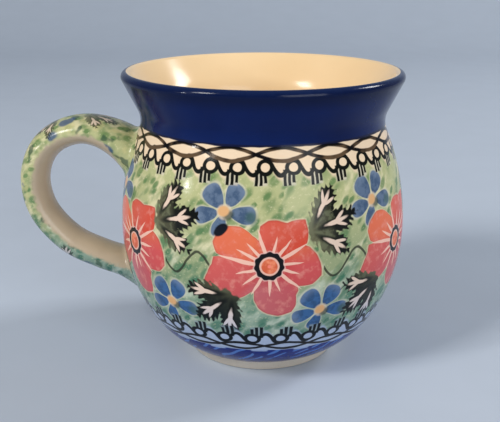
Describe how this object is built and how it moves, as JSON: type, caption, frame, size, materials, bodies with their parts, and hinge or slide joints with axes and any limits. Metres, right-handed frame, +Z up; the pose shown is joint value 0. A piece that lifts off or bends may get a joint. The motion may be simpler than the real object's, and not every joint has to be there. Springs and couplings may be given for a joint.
{
  "type": "mug",
  "caption": "Round-bellied stoneware mug with a flared collar, a foot ring and a luted strap handle, glazed in separate coats over bare clay.",
  "frame": {"origin": "on the mug's axis, in the plane the foot ring stands on", "axes": "+Z up along the mug's axis, -X towards the handle, +Y to the left of someone who holds the handle towards themselves"},
  "size_m": [0.1189, 0.0874, 0.088],
  "materials": {
    "bare_stoneware": "matt, fired clay",
    "slip": "matt, fired slip",
    "cream_glaze": "gloss",
    "cobalt_glaze": "gloss",
    "painted_glaze": "gloss over stamped colours",
    "handle_glaze": "gloss over sponged colours"
  },
  "bodies": {
    "root": {"clay_body": "bare_stoneware", "clay_handle": "bare_stoneware", "upper_handle_joint": "slip", "lower_handle_joint": "slip", "inner_glaze": "cream_glaze", "rim_glaze": "cobalt_glaze", "belly_glaze": "painted_glaze", "handle_glaze": "handle_glaze", "base_glaze": "cream_glaze"}
  },
  "joints": []
}
